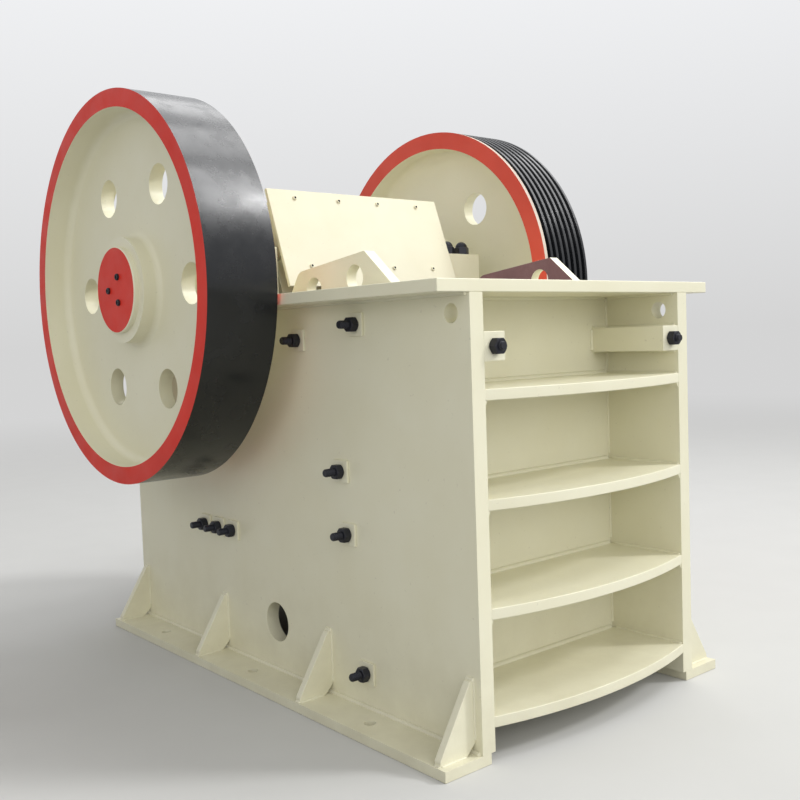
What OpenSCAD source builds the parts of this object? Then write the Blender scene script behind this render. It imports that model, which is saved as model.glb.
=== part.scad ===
// Single-toggle jaw crusher with a 600 by 900 mm feed opening, on a welded plate frame.
// X runs along the eccentric shaft: flywheel at -X, grooved belt wheel at +X.
// Y runs from the ribbed front wall at -Y to the rear wall at +Y. Z is up.
// The origin lies in the foundation plane, under the middle of the whole machine.
// The sizes named _y below are measured from the front of the frame, those named _z from the floor.

/* [Side walls and flanges] */
// Length of the side walls from front to rear
frame_len = 2340; // [2330:10:2500]
// Clear width of the crushing chamber between the side liners
chamber_w = 920; // [880:5:980]
// Thickness of the side liners
liner_t = 44; // [36:1:50]
// Thickness of each side wall
wall_t = 56; // [44:1:60]
// Height of the top flange's upper face
frame_top_z = 1505; // [1495:5:1520]
// Thickness of the top flange
top_flange_t = 40; // [30:1:50]
// Overhang of the top flange past the side walls
top_flange_over = 130; // [100:5:135]
// Thickness of the base flanges
base_flange_t = 35; // [25:1:50]
// Overhang of the base flanges past the side walls
base_flange_over = 158; // [140:2:180]
// Height at which the rear edge of a side wall starts to slope forward
rear_slope_z = 1110; // [1100:10:1160]

/* [Front wall] */
// Depth of the open compartments in front of the front wall
front_depth = 330; // [300:5:340]
// Thickness of the front wall
front_wall_t = 60; // [50:1:70]
// Underside of the lowest front rib, which is the front wall's lower edge
front_low_z = 110; // [100:5:130]
// Distance from one front rib to the next
front_rib_pitch = 341; // [320:1:345]
// Thickness of the ribs on the front and rear walls
rib_t = 36; // [25:1:44]
// How far the middle of a front rib bows out past the side walls
front_rib_bow = 70; // [30:5:90]
// Size of the clipped rear corners of the front ribs
front_rib_clip = 16; // [8:1:24]

/* [Front spacer bars] */
// Width and height of the square spacer bars
bar_size = 92; // [80:2:110]
// Depth of the bars' centre line under the top flange's upper face
bar_below = 206; // [190:1:220]
// Distance that a stud stands out of its bar
stud_out = 42; // [36:2:80]

/* [Base gussets and anchor holes] */
// Thickness of the triangular base gussets
gusset_t = 28; // [20:1:40]
// Height of the gussets above the base flange
gusset_h = 232; // [200:2:260]
// Distance from the wall ends to the first and last gusset
gusset_end = 32; // [20:1:60]
// Width of the vertical toe at a gusset's foot
gusset_toe = 16; // [8:1:30]
// Width of the sloped notch that clears the weld in a gusset's corner
gusset_notch = 34; // [20:1:50]
// Diameter of the anchor bolt holes
anchor_d = 42; // [30:1:50]
// Distance of the anchor holes from the side wall
anchor_out = 84; // [70:1:100]

/* [Bolts] */
// Diameter of the liner, guide and spacer bar studs
stud_d = 36; // [30:1:40]
// Size of their nuts across flats
nut_af = 52; // [50:1:58]
// Height of their nuts
nut_h = 30; // [24:1:36]
// Side of the square washer plates
washer_size = 80; // [76:1:96]
// Thickness of the square washer plates
washer_t = 10; // [6:1:16]
// Length of stud that stands out of a nut
stud_tail = 38; // [20:1:50]
// Radial clearance of a stud in its hole
stud_fit = 0.5; // [0.2:0.1:1]

/* [Side liner bolts] */
// Front bolt of the upper liner, from the front
upper_bolt_front_y = 560; // [500:5:600]
// Front bolt of the upper liner, from the floor
upper_bolt_front_z = 1385; // [1340:5:1400]
// Rear bolt of the upper liner, from the front
upper_bolt_rear_y = 915; // [880:5:940]
// Rear bolt of the upper liner, from the floor
upper_bolt_rear_z = 1337; // [1300:1:1360]
// Low bolt of the upper liner, from the front
upper_bolt_low_y = 675; // [620:5:720]
// Low bolt of the upper liner, from the floor
upper_bolt_low_z = 868; // [862:2:900]
// High bolt of the lower liner, from the front
lower_bolt_high_y = 645; // [600:1:660]
// High bolt of the lower liner, from the floor
lower_bolt_high_z = 645; // [600:5:760]
// Low bolt of the lower liner, from the front
lower_bolt_low_y = 565; // [500:5:600]
// Low bolt of the lower liner, from the floor
lower_bolt_low_z = 162; // [154:1:300]

/* [Crushing chamber] */
// Gap between a jaw plate's edge and the side liner
jaw_plate_gap = 10; // [6:1:20]
// Thickness of both jaw plates over the teeth
jaw_plate_t = 100; // [90:1:110]
// Depth of the teeth
tooth_h = 34; // [20:1:40]
// Number of teeth on the fixed jaw plate
tooth_count = 12; // [10:1:14]
// Lower end of the jaw plates
chamber_low_z = 140; // [130:2:160]
// Discharge gap between the tooth tips at rest
discharge_gap = 110; // [100:2:120]
// Slope of the swing jaw plate from the vertical, in degrees
nip_angle = 20; // [19:0.5:21]
// Length of the fixed jaw plate
fixed_plate_len = 1340; // [1300:5:1350]
// Length of the swing jaw plate along its slope
swing_plate_len = 1430; // [1400:5:1440]
// Height of the joint between the lower and the upper side liners
liner_joint_z = 816; // [800:2:830]
// Distance of the peak on the upper side liners from the front of the frame
liner_peak_y = 575; // [540:5:600]
// Height of that peak over the top flange
liner_peak_over = 135; // [120:1:155]
// Distance of the upper liners' rear top corner from the front of the frame
liner_rear_y = 940; // [936:2:960]
// Depth of that corner under the peak
liner_rear_drop = 42; // [20:1:60]
// Height at which the upper liners' rear edge starts to slope forward
liner_shoulder_z = 1400; // [1380:5:1440]
// How far the side liners reach behind the swing jaw's teeth
liner_behind = 60; // [50:2:80]
// Lower end of the side liners
liner_low_z = 124; // [110:2:130]
// Diameter of the lifting holes in the upper side liners
liner_hole_d = 94; // [60:2:100]
// Depth of the lifting holes' middle under the sloped top edge
liner_hole_below = 84; // [80:1:100]

/* [Eccentric shaft and bearings] */
// Distance of the shaft from the front of the frame
shaft_front = 1590; // [1585:1:1595]
// Height of the shaft over the top flange's upper face
shaft_over = 55; // [50:1:60]
// Diameter of the shaft inside the swing jaw
shaft_d = 280; // [260:2:300]
// Diameter of the shaft at the main bearings
journal_d = 220; // [200:2:230]
// Diameter of the shaft in the wheel hubs
wheel_seat_d = 200; // [180:2:210]
// Running clearance of the shaft in bearings, jaw and hubs
shaft_fit = 0.05; // [0.02:0.01:0.1]
// Outer diameter of the main bearings
bearing_d = 400; // [380:2:420]
// Outer diameter of the bearing housings
housing_d = 600; // [580:5:610]
// Width of the bearing housings along the shaft
housing_w = 200; // [180:2:210]
// Length of the housing feet from front to rear
housing_len = 800; // [780:5:810]
// Height of the cap's feet over the split
cap_foot_h = 150; // [120:2:160]
// Depth of the seat's feet under the split
seat_foot_h = 150; // [130:2:160]
// Diameter of the cap studs
cap_stud_d = 42; // [36:1:48]
// Distance of the cap studs from the ends of the feet
cap_stud_end = 60; // [50:1:80]
// Distance between the two studs of one foot
cap_stud_pitch = 92; // [80:2:100]
// Size of the cap nuts across flats
cap_nut_af = 62; // [58:1:72]
// Height of the cap nuts
cap_nut_h = 44; // [34:1:50]
// Length of cap stud that stands out of its nut
cap_stud_tail = 18; // [10:1:40]

/* [Wheels] */
// Outer diameter of the flywheel
flywheel_d = 1540; // [1530:5:1600]
// Outer diameter of the belt wheel
belt_wheel_d = 1560; // [1540:5:1600]
// Width of both wheel rims
wheel_w = 280; // [260:2:290]
// Gap between a bearing housing and the wheel beside it
wheel_clear = 45; // [30:1:70]
// Diameter of the recesses inside both rims
recess_d = 1402; // [1380:2:1410]
// Thickness of the wheel webs
web_t = 56; // [50:1:62]
// Radius of the rounded corner between rim and web
rim_fillet = 34; // [20:1:44]
// Radius of the rounded corner between hub and web
hub_fillet = 26; // [16:2:50]
// Diameter of the wheel hubs
hub_d = 420; // [380:5:440]
// Diameter of the circle through the web holes
web_hole_circle = 906; // [880:2:930]
// Diameter of the web holes
web_hole_d = 155; // [130:1:180]
// Number of web holes
web_hole_count = 6; // [4:1:8]
// Angle from straight down to the first web hole, in degrees
web_hole_turn = 30; // [0:1:45]
// Number of belt grooves
groove_count = 7; // [5:1:7]
// Width of a belt groove at the rim
groove_w = 23; // [21:0.5:25]
// Depth of the belt grooves
groove_depth = 20; // [16:0.5:23]
// Angle between the two flanks of a groove, in degrees
groove_angle = 36; // [34:1:38]
// Distance of the first groove's middle from the wheel's inner face
groove_first = 30; // [28:0.5:32]
// Distance of the last groove's middle from the wheel's outer face
groove_last = 25; // [22:0.5:28]
// Diameter of the hub end caps
cap_d = 342; // [300:2:350]
// Thickness of the hub end caps
cap_t = 22; // [16:1:30]
// How far the end caps lie behind the rim's outer face
cap_set = 18; // [10:1:30]

/* [Swing jaw] */
// Outer diameter of the jaw's head around the shaft
head_d = 660; // [640:5:680]
// Gap between the jaw's head and a side liner
jaw_head_gap = 25; // [15:1:40]
// How far the casting's sides lie behind the ends of its head
jaw_side_set = 8; // [4:1:12]
// Length of the casting's front plate along its slope
jaw_len = 1640; // [1620:5:1650]
// Thickness of the casting's front plate
jaw_slab_t = 110; // [90:2:130]
// Distance of the ribs' knee from the tooth tips
jaw_knee_out = 430; // [420:5:450]
// Distance of the ribs' knee up the slope
jaw_knee_up = 520; // [500:5:540]
// Distance of the ribs' foot from the tooth tips
jaw_foot_out = 300; // [290:5:320]
// Distance of the ribs' foot up the slope
jaw_foot_up = 10; // [5:1:20]
// Thickness of the four ribs behind the front plate
jaw_rib_t = 60; // [50:1:80]
// Gap between the guard plate and a side liner
guard_gap = 6; // [5:1:20]
// Height of the guard plate along its slope
guard_h = 426; // [410:2:440]
// Thickness of the guard plate
guard_t = 14; // [10:1:20]
// Distance of the guard plate from the shaft's centre line
guard_out = 443; // [436:1:450]

/* [Toggle and tension rod] */
// Thickness of the toggle plate
toggle_t = 60; // [50:1:62]
// Diameter of the toggle plate's rounded ends
toggle_end_d = 66; // [64:1:70]
// How far the toggle plate's ends lie inside the jaw's sides
toggle_end_set = 67; // [66:1:90]
// Distance of the front toggle pivot from the front of the frame
toggle_front_y = 1010; // [1005:1:1015]
// Height of the front toggle pivot
toggle_front_z = 380; // [376:1:384]
// Distance of the rear toggle pivot from the front of the frame
toggle_rear_y = 1480; // [1475:1:1485]
// Height of the rear toggle pivot
toggle_rear_z = 557; // [553:1:561]
// Radial clearance of the toggle plate's front end in the jaw's seat
toggle_front_clear = 1.2; // [0.8:0.1:2]
// Radial clearance of the toggle plate's rear end in the sliding block
toggle_rear_clear = 0.3; // [0.2:0.1:1]
// Diameter of the tension rod
rod_d = 44; // [36:1:48]
// Distance of the tension rod's pin from the front of the frame
rod_pin_y = 1146; // [1140:1:1150]
// Height of the tension rod and its pin
rod_z = 226; // [222:1:230]
// Diameter of the tension rod's pin
rod_pin_d = 50; // [44:1:54]
// Radial clearance of the rod's nuts around the rod
rod_nut_clear = 1.5; // [1:0.1:2]
// Outer diameter of the tension spring
spring_d = 120; // [110:2:130]
// Length of the tension spring
spring_len = 270; // [250:2:280]

/* [Rear wall] */
// Distance of the rear wall from the front of the frame
rear_wall_y = 1800; // [1795:1:1810]
// Thickness of the rear wall
rear_wall_t = 60; // [50:1:66]
// Distance of the rear ribs' edges from the rear of the side walls
rear_rib_set = 20; // [10:1:40]

/* [Hidden] */
$fn = 64;

CREAM = "#e9e4cf";
RIM_RED = "#e2452f";
GLOSS_BLACK = "#15181c";
BOLT_BLACK = "#23262e";
PRIMER_RED = "#7a4048";
CAST_GREY = "#6d6a66";
BARE_STEEL = "#8b8d90";

liner_in = chamber_w / 2;
wall_in = liner_in + liner_t;
wall_out = wall_in + wall_t;
jaw_plate_w = chamber_w - 2 * jaw_plate_gap;
jaw_w = chamber_w - 2 * jaw_head_gap;
jaw_body_w = jaw_w - 2 * jaw_side_set;
guard_w = chamber_w - 2 * guard_gap;
toggle_w = jaw_body_w - 2 * toggle_end_set;
shaft_z = frame_top_z + shaft_over;
bar_z = frame_top_z - bar_below;
liner_peak_z = frame_top_z + liner_peak_over;
liner_top_slope = liner_rear_drop / (liner_rear_y - liner_peak_y);
flange_low = frame_top_z - top_flange_t;
front_wall_back = front_depth + front_wall_t;
fixed_crest_y = front_wall_back + jaw_plate_t;
seat_in = wall_out - housing_w / 2;
seat_out = wall_out + housing_w / 2;
foot_front = shaft_front - housing_len / 2;
foot_rear = shaft_front + housing_len / 2;
crest_low_y = fixed_crest_y + discharge_gap;
wheel_gap = 2 * (seat_out + wheel_clear);
shaft_end_gap = 2;
journal_end_gap = 10;
bearing_end_set = 10;
hub_len = wheel_w - cap_set - cap_t;
toggle_rise = atan2(toggle_rear_z - toggle_front_z, toggle_rear_y - toggle_front_y);
toggle_len = norm([toggle_rear_y - toggle_front_y, toggle_rear_z - toggle_front_z]);
rear_wall_back = rear_wall_y + rear_wall_t;
gusset_pitch = (frame_len - 2 * gusset_end - gusset_t) / 3;
anchor_x = wall_out + anchor_out;
gusset_foot_set = 10;
// An anchor hole's place in its bay, as a share of the bay's length
anchor_share = 0.55;
anchor_ys = [for (bay = [0:2]) gusset_end + gusset_t / 2 + (bay + anchor_share) * gusset_pitch];

upper_bolts = [
    [upper_bolt_front_y, upper_bolt_front_z], [upper_bolt_rear_y, upper_bolt_rear_z],
    [upper_bolt_low_y, upper_bolt_low_z]
];
lower_bolts = [[lower_bolt_high_y, lower_bolt_high_z], [lower_bolt_low_y, lower_bolt_low_z]];
liner_hole_ys = [liner_peak_y + 59, liner_rear_y - 56];
liner_joint_gap = 4;
stud_in_liner = 20;
stud_in_guide = 24;

// Hole through both side walls at the tension rod's pin, and lifting hole near the front top corner
pin_hole_d = 156;
lift_hole_d = 62;
lift_hole_y = 84;
lift_hole_below = 61;

// Room over and under the toggle plate where it passes the jaw's inner ribs
toggle_room = 16;

// Toggle block and its guides
block_face_gap = 3;
block_len = 257;
block_h = 250;
block_side_gap = 9;
slide_gap = 0.3;
guide_web_t = 30;
guide_lip_t = 50;
guide_lip_w = 84;
block_w = 2 * (wall_in - guide_web_t - block_side_gap);
guide_front = toggle_rear_y - 50;
guide_bolt_first = 20;
guide_bolt_pitch = 115;
guide_bolts = [
    for (step = [0:2]) [guide_front + guide_bolt_first + step * guide_bolt_pitch, toggle_rear_z]
];
jack_x = 250;
jack_d = 40;
jack_clear = 3;
jack_out = 120;
jack_head_af = 60;
jack_head_h = 30;

// Tension rod parts
spring_bore_d = 84;
spring_seat_t = 16;
spring_seat_rim = 15;
rod_washer_rim = 5;
rod_washer_t = 18;
rod_nut_h = 36;
rod_nut_af = 75;
rod_tail = 90;
rod_eye_d = 110;
rod_eye_w = 76;
rod_lug_w = 46;
rod_lug_gap = 3;
rod_hole_clear = 16;
spring_end = rear_wall_back + spring_seat_t + spring_len;
rod_end_y = spring_end + rod_washer_t + 2 * rod_nut_h + rod_tail;
lug_root_high_y = 940;
lug_root_low_y = 880;
lug_root_rise = 30;

// Seat of the toggle plate in the jaw
toggle_seat_depth = 170;
toggle_seat_h = 170;
toggle_seat_side = 15;
toggle_side_gap = 5;

// Where the jaw's ribs run into its head: depth under the head's surface and angle below level
jaw_rib_in_head = 22;
jaw_rib_meets = 34;

// Guard plate and the ribs that carry it on the jaw's head
guard_low = 170;
guard_rib_t = 24;
guard_rib_low = 20;
guard_rib_short = 40;

// Where the four ribs of the jaw and of its guard plate stand, as shares of the half width
rib_shares = [-1, -0.34, 0.34, 1];

// Width of a tooth at its tip and at its root, as shares of the tooth pitch
tooth_tip_share = 0.36;
tooth_root_share = 0.88;

// Overlap that joins shapes of one piece, and overrun of a cut past the face it leaves
cut = 1;

module at_front() {
    reach = max(frame_len, shaft_front + max(flywheel_d, belt_wheel_d) / 2);
    translate([0, (front_rib_bow - reach) / 2, 0]) children();
}

module on_side(side) {
    if (side < 0) mirror([1, 0, 0]) children();
    else children();
}

// Extrudes an outline drawn in Y and Z along X, from x to x + t
module plate_x(x, t) {
    translate([x, 0, 0]) rotate([90, 0, 90]) linear_extrude(t) children();
}

// Round bar along X with its centre line at y and z
module bar_x(x, t, d, y, z) {
    translate([x, y, z]) rotate([0, 90, 0]) cylinder(h = t, d = d, $fn = 96);
}

// Round bar along Y that starts at y
module bar_y(y, t, d, x, z) {
    translate([x, y, z]) rotate([-90, 0, 0]) cylinder(h = t, d = d);
}

module hex(h, af) {
    cylinder(h = h, d = af / cos(30), $fn = 6);
}

module box_between(low, high) {
    translate(low) cube(high - low);
}

// Frame

module wall_outline() {
    polygon([
        [0, base_flange_t], [frame_len, base_flange_t], [frame_len, rear_slope_z],
        [foot_rear, flange_low], [0, flange_low]
    ]);
}

module seat_outline() {
    translate([shaft_front, shaft_z]) intersection() {
        circle(d = housing_d, $fn = 96);
        translate([-housing_d / 2, -housing_d]) square([housing_d, housing_d]);
    }
    translate([foot_front, shaft_z - seat_foot_h]) square([housing_len, seat_foot_h]);
}

module side_wall(side) {
    color(CREAM) at_front() on_side(side) difference() {
        union() {
            plate_x(wall_in, wall_t) wall_outline();
            plate_x(seat_in, housing_w) seat_outline();
        }
        bar_x(seat_in - cut, housing_w + 2 * cut, bearing_d + 2 * shaft_fit, shaft_front, shaft_z);
        bar_x(wall_in - cut, wall_t + 2 * cut, pin_hole_d, rod_pin_y, rod_z);
        bar_x(wall_in - cut, wall_t + 2 * cut, lift_hole_d, lift_hole_y, flange_low - lift_hole_below);
        for (p = concat(upper_bolts, lower_bolts, guide_bolts))
            bar_x(wall_in - cut, wall_t + 2 * cut, stud_d + 2 * stud_fit, p[0], p[1]);
        for (y = [foot_front + cap_stud_end, foot_rear - cap_stud_end])
            for (k = [-0.5, 0.5])
                translate([wall_out + k * cap_stud_pitch, y, shaft_z - seat_foot_h - cut])
                    cylinder(h = seat_foot_h + 2 * cut, d = cap_stud_d + 2 * stud_fit);
    }
}

module base_flange(side) {
    color(CREAM) at_front() on_side(side) difference() {
        box_between([wall_in, 0, 0], [wall_out + base_flange_over, frame_len, base_flange_t]);
        for (y = anchor_ys)
            translate([anchor_x, y, -cut]) cylinder(h = base_flange_t + 2 * cut, d = anchor_d);
    }
}

module gusset_outline() {
    foot = base_flange_over - gusset_foot_set;
    polygon([
        [gusset_notch, 0], [foot, 0], [foot, gusset_toe], [gusset_toe, gusset_h],
        [0, gusset_h], [0, gusset_notch]
    ]);
}

module base_gussets(side) {
    color(CREAM) at_front() on_side(side)
        for (k = [0:3])
            translate([wall_out, gusset_end + gusset_t + k * gusset_pitch, base_flange_t])
                rotate([90, 0, 0]) linear_extrude(gusset_t) gusset_outline();
}

module front_wall() {
    color(CREAM) at_front() difference() {
        box_between([-wall_in, front_depth, front_low_z], [wall_in, front_wall_back, flange_low]);
        for (x = [-1, 1])
            bar_y(front_depth - cut, front_wall_t + 2 * cut, stud_d + 2 * stud_fit,
                  x * (wall_in - bar_size / 2), bar_z);
    }
}

module rib_outline() {
    bow_r = (wall_in * wall_in + front_rib_bow * front_rib_bow) / (2 * front_rib_bow);
    polygon([
        [-wall_in, 0], [wall_in, 0], [wall_in, front_depth - front_rib_clip],
        [wall_in - front_rib_clip, front_depth], [front_rib_clip - wall_in, front_depth],
        [-wall_in, front_depth - front_rib_clip]
    ]);
    intersection() {
        translate([0, bow_r - front_rib_bow]) circle(r = bow_r, $fn = 180);
        translate([-wall_in, -front_rib_bow]) square([2 * wall_in, front_rib_bow + cut]);
    }
}

// The ribs are counted from the top
module front_rib(number) {
    color(CREAM) at_front()
        translate([0, 0, front_low_z + (4 - number) * front_rib_pitch])
            linear_extrude(rib_t) rib_outline();
}

module top_flange_front() {
    half = wall_out + top_flange_over;
    color(CREAM) at_front()
        box_between([-half, 0, flange_low], [half, front_wall_back, frame_top_z]);
}

module top_flange_side(side) {
    color(CREAM) at_front() on_side(side)
        box_between([wall_in, front_wall_back, flange_low],
                    [wall_out + top_flange_over, foot_front, frame_top_z]);
}

module spacer_bars() {
    color(CREAM) at_front() for (side = [-1, 1]) on_side(side) difference() {
        box_between([wall_in - bar_size, 0, bar_z - bar_size / 2],
                    [wall_in, front_depth, bar_z + bar_size / 2]);
        bar_y(-cut, front_depth + 2 * cut, stud_d + 2 * stud_fit, wall_in - bar_size / 2, bar_z);
    }
}

module spacer_bar_studs() {
    color(BOLT_BLACK) at_front() for (side = [-1, 1]) on_side(side) {
        bar_y(-stud_out, stud_out + front_wall_back, stud_d, wall_in - bar_size / 2, bar_z);
        translate([wall_in - bar_size / 2, 0, bar_z]) rotate([90, 0, 0]) hex(nut_h, nut_af);
    }
}

// Liners and jaw plates

function swing_line_y(z) = crest_low_y + (z - chamber_low_z) * tan(nip_angle) + liner_behind;

module upper_liner(side) {
    low = liner_joint_z + liner_joint_gap / 2;
    color(PRIMER_RED) at_front() on_side(side) difference() {
        plate_x(liner_in, liner_t) polygon([
            [front_wall_back, low], [front_wall_back, frame_top_z - top_flange_t / 2],
            [liner_peak_y, liner_peak_z], [liner_rear_y, liner_peak_z - liner_rear_drop],
            [swing_line_y(liner_shoulder_z), liner_shoulder_z], [swing_line_y(low), low]
        ]);
        for (y = liner_hole_ys)
            bar_x(liner_in - cut, liner_t + 2 * cut, liner_hole_d, y,
                  liner_peak_z - (y - liner_peak_y) * liner_top_slope - liner_hole_below);
        liner_stud_holes(upper_bolts);
    }
}

// Blind holes for the studs that end inside the side liners
module liner_stud_holes(places) {
    deep = stud_in_liner + 4;
    for (p = places)
        bar_x(wall_in - deep, deep + cut, stud_d + 2 * stud_fit, p[0], p[1]);
}

module lower_liner(side) {
    high = liner_joint_z - liner_joint_gap / 2;
    color(PRIMER_RED) at_front() on_side(side) difference() {
        plate_x(liner_in, liner_t) polygon([
            [front_wall_back, liner_low_z], [front_wall_back, high],
            [swing_line_y(high), high], [swing_line_y(liner_low_z), liner_low_z]
        ]);
        liner_stud_holes(lower_bolts);
    }
}

// Stud through the side wall with a square washer plate and a nut outside
module wall_bolt(p, inside) {
    bar_x(wall_in - inside, inside + wall_t + washer_t + nut_h + stud_tail, stud_d, p[0], p[1]);
    translate([wall_out, p[0] - washer_size / 2, p[1] - washer_size / 2])
        cube([washer_t, washer_size, washer_size]);
    translate([wall_out + washer_t, p[0], p[1]]) rotate([0, 90, 0]) hex(nut_h, nut_af);
}

module liner_bolts(side) {
    color(BOLT_BLACK) at_front() on_side(side) {
        for (p = concat(upper_bolts, lower_bolts))
            wall_bolt(p, stud_in_liner);
        for (p = guide_bolts)
            wall_bolt(p, stud_in_guide);
    }
}

// Outline of a toothed jaw plate in X and depth: teeth point to -Y, the back is at y = t
module toothed_outline(count) {
    pitch = jaw_plate_w / tooth_count;
    tip = pitch * tooth_tip_share / 2;
    root = pitch * tooth_root_share / 2;
    translate([-jaw_plate_w / 2, tooth_h]) square([jaw_plate_w, jaw_plate_t - tooth_h]);
    for (k = [0:count - 1])
        translate([(k - (count - 1) / 2) * pitch, 0])
            polygon([[-tip, 0], [tip, 0], [root, tooth_h + cut], [-root, tooth_h + cut]]);
}

module fixed_jaw_plate() {
    color(CAST_GREY) at_front() translate([0, fixed_crest_y, chamber_low_z])
        mirror([0, 1, 0]) linear_extrude(fixed_plate_len) toothed_outline(tooth_count);
}

// Frame of the swing jaw: z runs up the crushing face, y runs back from the tooth tips
module on_jaw() {
    translate([0, crest_low_y, chamber_low_z]) rotate([-nip_angle, 0, 0]) children();
}

module swing_jaw_plate() {
    color(CAST_GREY) at_front() on_jaw() linear_extrude(swing_plate_len) toothed_outline(tooth_count - 1);
}

// Shaft and wheels

module eccentric_shaft() {
    half_wheel = wheel_gap / 2 + hub_len - shaft_end_gap;
    half_journal = wheel_gap / 2 - journal_end_gap;
    color(BARE_STEEL) at_front() {
        bar_x(-jaw_w / 2, jaw_w, shaft_d, shaft_front, shaft_z);
        bar_x(-half_journal, 2 * half_journal, journal_d, shaft_front, shaft_z);
        bar_x(-half_wheel, 2 * half_wheel, wheel_seat_d, shaft_front, shaft_z);
    }
}

// Cross-section of a plain wheel: x is the radius, y runs from the inner face outward
module wheel_section(outer_d) {
    rim_in = recess_d / 2;
    hub_r = hub_d / 2;
    bore_r = wheel_seat_d / 2 + shaft_fit;
    web_low = (wheel_w - web_t) / 2;
    web_high = (wheel_w + web_t) / 2;
    difference() {
        translate([bore_r, 0]) square([outer_d / 2 - bore_r, wheel_w]);
        translate([bore_r - cut, hub_len]) square([hub_r - bore_r + 2 * cut, wheel_w]);
        translate([0, web_low]) recess(hub_r, rim_in);
        translate([0, web_high]) mirror([0, 1]) recess(hub_r, rim_in);
    }
}

// Recess between hub and rim with rounded corners, whose floor is at y = 0 and which opens to -Y
module recess(r_in, r_out) {
    hub_edge = r_in + hub_fillet;
    rim_edge = r_out - rim_fillet;
    translate([hub_edge, -wheel_w]) square([rim_edge - hub_edge, wheel_w]);
    translate([r_in, -wheel_w]) square([hub_fillet + cut, wheel_w - hub_fillet]);
    translate([rim_edge - cut, -wheel_w]) square([rim_fillet + cut, wheel_w - rim_fillet]);
    translate([hub_edge, -hub_fillet]) circle(r = hub_fillet);
    translate([rim_edge, -rim_fillet]) circle(r = rim_fillet);
}

module wheel_body(outer_d) {
    difference() {
        rotate_extrude($fn = 120) wheel_section(outer_d);
        for (k = [0:web_hole_count - 1])
            rotate([0, 0, web_hole_turn + k * 360 / web_hole_count])
                translate([web_hole_circle / 2, 0, 0]) cylinder(h = wheel_w, d = web_hole_d);
    }
}

module groove_section() {
    high = groove_w / 2 + cut * tan(groove_angle / 2);
    low = groove_w / 2 - groove_depth * tan(groove_angle / 2);
    groove_pitch = (wheel_w - groove_first - groove_last) / (groove_count - 1);
    for (k = [0:groove_count - 1])
        translate([belt_wheel_d / 2, groove_first + k * groove_pitch])
            polygon([[cut, -high], [cut, high], [-groove_depth, low], [-groove_depth, -low]]);
}

// Puts a wheel, drawn with its inner face at z = 0, on the shaft at one side
module on_shaft(side) {
    at_front() on_side(side) translate([wheel_gap / 2, shaft_front, shaft_z])
        rotate([0, 90, 0]) children();
}

module flywheel() {
    color(GLOSS_BLACK) on_shaft(-1) wheel_body(flywheel_d);
}

module belt_wheel() {
    color(GLOSS_BLACK) on_shaft(1) difference() {
        wheel_body(belt_wheel_d);
        rotate_extrude($fn = 120) groove_section();
    }
}

module hub_cap(side) {
    color(RIM_RED) on_shaft(side)
        translate([0, 0, hub_len]) cylinder(h = cap_t, d = cap_d, $fn = 96);
}

// Main bearings

module main_bearing(side) {
    color(BARE_STEEL) at_front() on_side(side) difference() {
        bar_x(seat_in + bearing_end_set, housing_w - 2 * bearing_end_set, bearing_d, shaft_front, shaft_z);
        bar_x(seat_in, housing_w, journal_d + 2 * shaft_fit, shaft_front, shaft_z);
    }
}

module bearing_cap(side) {
    color(CREAM) at_front() on_side(side) difference() {
        union() {
            plate_x(seat_in, housing_w) translate([shaft_front, shaft_z]) intersection() {
                circle(d = housing_d, $fn = 96);
                translate([-housing_d / 2, 0]) square([housing_d, housing_d]);
            }
            box_between([seat_in, foot_front, shaft_z], [seat_out, foot_rear, shaft_z + cap_foot_h]);
        }
        bar_x(seat_in - cut, housing_w + 2 * cut, bearing_d + 2 * shaft_fit, shaft_front, shaft_z);
        for (y = [foot_front + cap_stud_end, foot_rear - cap_stud_end])
            for (k = [-0.5, 0.5])
                translate([wall_out + k * cap_stud_pitch, y, shaft_z - cut])
                    cylinder(h = cap_foot_h + 2 * cut, d = cap_stud_d + 2 * stud_fit);
    }
}

module bearing_studs(side) {
    color(BOLT_BLACK) at_front() on_side(side)
        for (y = [foot_front + cap_stud_end, foot_rear - cap_stud_end])
            for (k = [-0.5, 0.5])
                translate([wall_out + k * cap_stud_pitch, y, shaft_z]) {
                    translate([0, 0, -seat_foot_h])
                        cylinder(h = seat_foot_h + cap_foot_h + cap_nut_h + cap_stud_tail, d = cap_stud_d);
                    translate([0, 0, cap_foot_h]) hex(cap_nut_h, cap_nut_af);
                }
}

// Swing jaw

// The ribs run from the foot up to the head, whose centre is worked out in the jaw's own frame
module jaw_rib_outline() {
    back = shaft_front - crest_low_y;
    up = shaft_z - chamber_low_z;
    head_y = back * cos(nip_angle) - up * sin(nip_angle);
    head_z = back * sin(nip_angle) + up * cos(nip_angle);
    reach = head_d / 2 - jaw_rib_in_head;
    slab_in = jaw_plate_t + jaw_slab_t / 2;
    polygon([
        [slab_in, jaw_foot_up], [slab_in, jaw_len - cut], [head_y, head_z],
        [head_y + reach * cos(jaw_rib_meets), head_z - reach * sin(jaw_rib_meets)],
        [jaw_knee_out, jaw_knee_up], [jaw_foot_out, jaw_foot_up]
    ]);
}

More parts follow.
